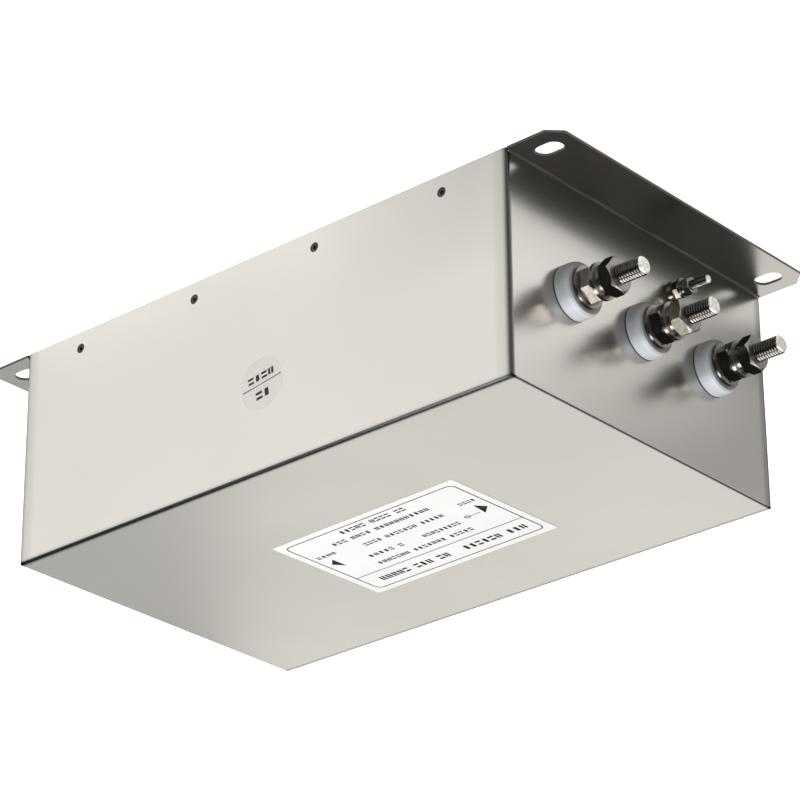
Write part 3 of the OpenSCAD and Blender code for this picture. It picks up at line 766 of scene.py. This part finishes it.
def build_floor():
    """A pale sheet that glows softly, more by the LINE end, fades past its far corner and has a
    painted shadow next to it.
    """
    mat, tree, bsdf = new_material("studio_floor")
    reach, past, painted_shadow = floor_zones(tree)
    tone = span(tree, noise(tree, 6.0), 0, 1)
    paper = mix(tree, tone, (0.90, 0.89, 0.875), (0.89, 0.88, 0.865))
    # painted shadow: the paper turns darker next to the far corner
    tree.links.new(mix(tree, painted_shadow, paper, (0.50, 0.49, 0.48)), bsdf.inputs["Base Color"])
    bsdf.inputs["Roughness"].default_value = 0.9
    bsdf.inputs["Emission Color"].default_value = (1.0, 0.985, 0.96, 1)
    glow = span(tree, reach, GLOW, GLOW_BY_LINE_END, *GLOW_GROWS)
    fade = calc(tree, "MAXIMUM", past, painted_shadow)
    loss = times(tree, fade, calc(tree, "SUBTRACT", glow, GLOW_BEYOND))
    tree.links.new(calc(tree, "SUBTRACT", glow, loss), bsdf.inputs["Emission Strength"])
    half = FLOOR_HALF
    floor = mesh_object("studio_floor", [(-half, -half, 0), (half, -half, 0), (half, half, 0),
                                         (-half, half, 0)], [(0, 1, 2, 3)], mat)
    return floor


def toward(azimuth, elevation, distance):
    a, e = math.radians(azimuth), math.radians(elevation)
    return (distance * math.cos(a) * math.cos(e), distance * math.sin(a) * math.cos(e),
            distance * math.sin(e))


def softbox(name, place, target, size, radiance, colour=(1, 1, 1)):
    """An area light with a stated brightness, so that its reflection keeps it at any size."""
    lamp = bpy.data.lights.new(name, "AREA")
    lamp.shape = "RECTANGLE"
    lamp.size, lamp.size_y = size
    lamp.energy = radiance * math.pi * size[0] * size[1]
    lamp.color = colour
    obj = bpy.data.objects.new(name, lamp)
    bpy.context.scene.collection.objects.link(obj)
    obj.location = place
    obj.rotation_euler = (Vector(target) - Vector(place)).to_track_quat("-Z", "Y").to_euler()
    return obj


def aim(lamp, objects, keep_off=False):
    """Let a lamp light these objects alone, or keep its light off them."""
    group = bpy.data.collections.new(f"receives_{lamp.name}")
    lamp.light_linking.receiver_collection = group
    for obj in objects:
        group.objects.link(obj)
    for link in group.collection_objects:
        link.light_linking.link_state = "EXCLUDE" if keep_off else "INCLUDE"


def build_lights(no_key, hardware, cover):
    """Three lamps for all, a key kept off what it would make too bright, and three for some pieces.

    Those three are for the terminals, the cover's long bends and its bends by the LINE end.
    """
    softbox("overhead", (0.20, -0.46, 1.0), (0.13, -0.2, 0), (0.8, 0.8), 5.9)
    softbox("back_panel", (0.753, 1.264, 0.80), (0, 0, 0.10), (0.90, 0.9), 1.24,
            (1.0, 0.985, 0.95))
    softbox("dim_panel", (1.314, 0.846, 0.80), (0, 0, 0.10), (0.50, 0.9), 0.70)
    key = softbox("key", (-0.70, -0.34, 1.08), (0, 0, 0.05), (0.42, 0.42), 30.0)
    aim(key, no_key, keep_off=True)
    aim(softbox("thread_light", (-0.868, 0.549, 0.853), (-0.16, 0, 0.05), (0.85, 0.60), 8.0),
        hardware)
    aim(softbox("fold_light", (0.90, -1.29, 0.52), (0, -0.085, 0.10), (2.4, 0.95), 1.35), [cover])
    aim(softbox("end_fold_light", toward(98, 48, 1.6), (-WALL_X * MM, 0, 0.10), (0.5, 0.5), 0.6),
        [cover])


# the photo's camera, solved from the straight edges of the case
CAMERA_PLACE = (-0.868670, -0.989675, 0.675587)
CAMERA_AHEAD = (0.590868, 0.678144, -0.437030)
CAMERA_UP = (-0.292848, -0.324473, -0.899421)
CAMERA_LENS = 154.18


def build_camera():
    """The photo hangs the filter upside down, so the camera is rolled by half a turn."""
    ahead, up = Vector(CAMERA_AHEAD), Vector(CAMERA_UP)
    cam = bpy.data.cameras.new("camera")
    cam.sensor_width = 36.0
    cam.lens = CAMERA_LENS
    obj = bpy.data.objects.new("camera", cam)
    bpy.context.scene.collection.objects.link(obj)
    turn = Matrix((ahead.cross(up), up, -ahead)).transposed().to_4x4()
    obj.matrix_world = Matrix.Translation(Vector(CAMERA_PLACE)) @ turn
    bpy.context.scene.camera = obj


HARDWARE_NODES = ("wire_nuts", "clamp_nuts", "wire_washers", "spring_washers", "ground_nuts")
NO_KEY_NODES = ("base_plate", "ground_nuts")


def main():
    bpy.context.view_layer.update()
    nodes = frame["nodes"]
    mats = build_materials()
    dress_frame(mats)
    hardware = build_studs(mats) + build_earth_studs(mats)
    hardware += [nodes[name] for name in HARDWARE_NODES]
    no_key = build_fold_lines(mats) + build_label(mats)
    build_sticker(mats)
    build_world()
    no_key += [build_floor()] + [nodes[name] for name in NO_KEY_NODES]
    build_lights(no_key, hardware, nodes["cover"])
    build_camera()
    bpy.context.scene.view_settings.view_transform = "Standard"


main()
